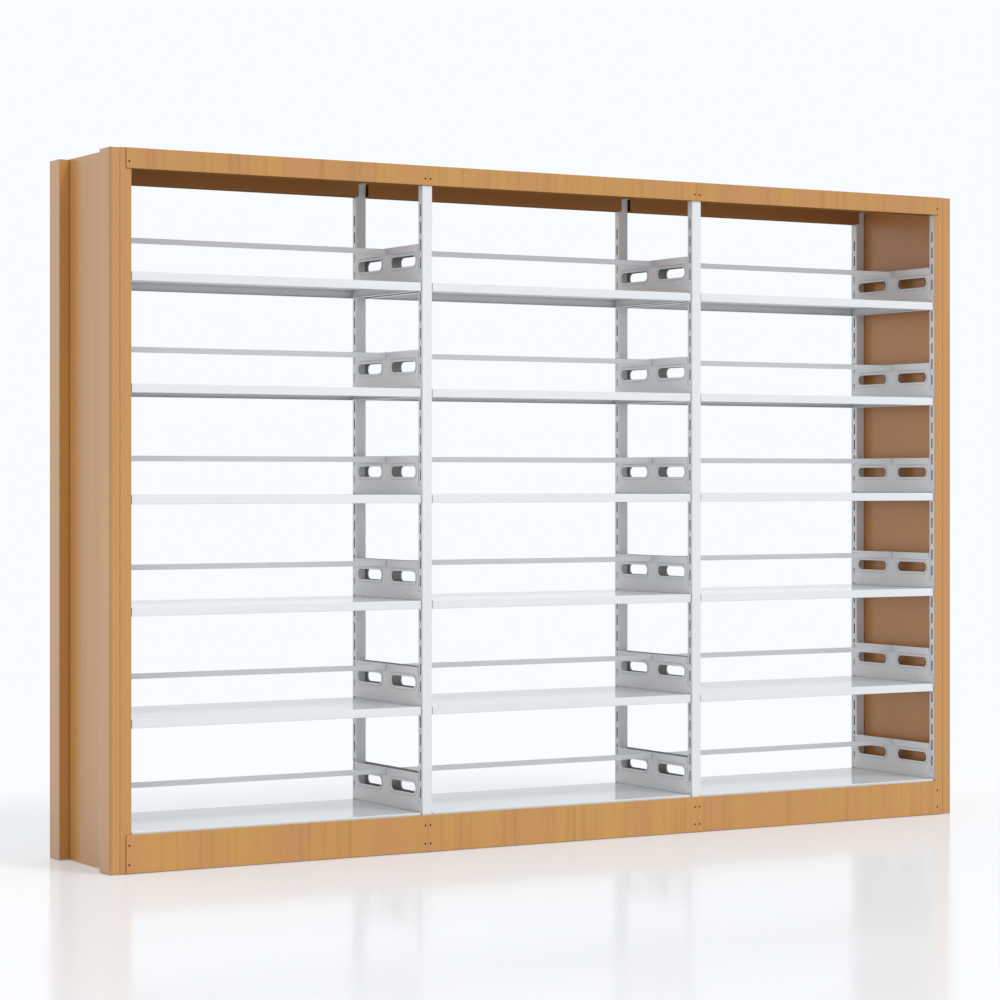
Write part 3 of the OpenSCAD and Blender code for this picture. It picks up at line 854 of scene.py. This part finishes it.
@dataclass
class ShelfLevels:
    """What hangs in the frames: end plates with their stop bar, and the shelf on them."""

    bays: int = BAYS
    levels: int = LEVELS

    def build(self, wardrobe: Wardrobe) -> None:
        """Dresses every hanger and shelf.

        Args:
            wardrobe: Where the finishes come from.
        """
        for bay in range(1, self.bays + 1):
            for level in range(1, self.levels + 1):
                wardrobe.dress(f"hanger_bay{bay}_level{level}", Slot.PLATE)
                wardrobe.dress(f"shelf_bay{bay}_level{level}", Slot.WHITE)


@dataclass(frozen=True)
class FarLamp:
    """A lamp so far off that its light is parallel but for the softness of its shadows."""

    name: str
    strength: float
    # Degrees above the horizon, to the right of straight in front of the row, and across the lamp
    rise: float
    turn: float
    breadth: float
    # Only the direction counts. This keeps the lamp's mark clear of the row.
    off: float = 8.0

    def hang(self) -> None:
        """Puts the lamp into the scene."""
        data = bpy.data.lights.new(self.name, "SUN")
        data.energy = self.strength
        data.angle = math.radians(self.breadth)
        lamp = bpy.data.objects.new(self.name, data)
        rise, turn = math.radians(self.rise), math.radians(self.turn)
        towards = Vector((
            math.sin(turn) * math.cos(rise), -math.cos(turn) * math.cos(rise), math.sin(rise),
        ))
        lamp.rotation_euler = towards.to_track_quat("Z", "Y").to_euler()
        lamp.location = towards * self.off
        bpy.context.scene.collection.objects.link(lamp)


@dataclass
class Studio:
    """A plain white studio with a level camera where the photograph was taken from.

    The camera's place, turn, lens and shift come from a fit to the edges in the photograph.
    """

    camera_place: tuple[float, float, float] = (-4.862, -8.093, 1.1496)
    camera_turn: float = 30.45
    lens_mm: float = 105.19
    sensor_mm: float = 36.0
    shift_up: float = -0.0216
    sight: float = 300.0
    # The white that is seen, and the strength of the plain white that lights the row
    backdrop: str = "#f9fcff"
    ambient: float = 0.775
    lamps: tuple[FarLamp, ...] = (
        FarLamp("key", strength=1.06, rise=52.0, turn=25.0, breadth=16.0),
        FarLamp("fill", strength=0.10, rise=6.0, turn=0.0, breadth=40.0),
    )
    floor_half: float = 40.0
    # The floor lies a hair lower than the foot caps' soles
    floor_drop: float = 0.2 * MM

    def build(self) -> None:
        """Sets the camera, the light and the floor."""
        bpy.context.scene.view_settings.view_transform = "Standard"
        self.place_camera()
        self.light_sky()
        for lamp in self.lamps:
            lamp.hang()
        self.lay_floor()

    def place_camera(self) -> None:
        """Makes the scene's camera."""
        data = bpy.data.cameras.new("camera")
        data.lens = self.lens_mm
        data.sensor_width = self.sensor_mm
        data.shift_y = self.shift_up
        data.clip_end = self.sight
        camera = bpy.data.objects.new("camera", data)
        camera.location = self.camera_place
        camera.rotation_euler = (math.radians(90), 0, -math.radians(self.camera_turn))
        bpy.context.scene.collection.objects.link(camera)
        bpy.context.scene.camera = camera

    def light_sky(self) -> None:
        """Makes the world: white where it is seen, softer as light."""
        world = bpy.data.worlds.new("studio_white")
        bpy.context.scene.world = world
        world.use_nodes = True
        tree = world.node_tree
        tree.nodes.clear()
        soft = add_node(tree, "Background", {"Color": linear("#ffffff"), "Strength": self.ambient})
        white = add_node(tree, "Background", {"Color": linear(self.backdrop), "Strength": 1.0})
        both = add_node(tree, "MixShader", {
            0: add_seen_share(tree), 1: soft.outputs["Background"], 2: white.outputs["Background"],
        })
        add_node(tree, "OutputWorld", {"Surface": both.outputs["Shader"]})

    def lay_floor(self) -> None:
        """Lays the floor."""
        half, z = self.floor_half, -self.floor_drop
        mesh = bpy.data.meshes.new("studio_floor")
        mesh.from_pydata(
            [(-half, -half, z), (half, -half, z), (half, half, z), (-half, half, z)], [],
            [(0, 1, 2, 3)])
        floor = bpy.data.objects.new("studio_floor", mesh)
        mesh.materials.append(StudioFloor("white_floor_lacquer", "#fbfcfe", self.backdrop).build())
        bpy.context.scene.collection.objects.link(floor)


def main() -> None:
    """Builds the row's looks and the studio."""
    logging.basicConfig(level=logging.INFO, format="%(message)s")
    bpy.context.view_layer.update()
    wardrobe = Wardrobe()
    for part in (UprightFrames(), Cladding(), ShelfLevels()):
        part.build(wardrobe)
    Studio().build()


if __name__ == "__main__":
    main()
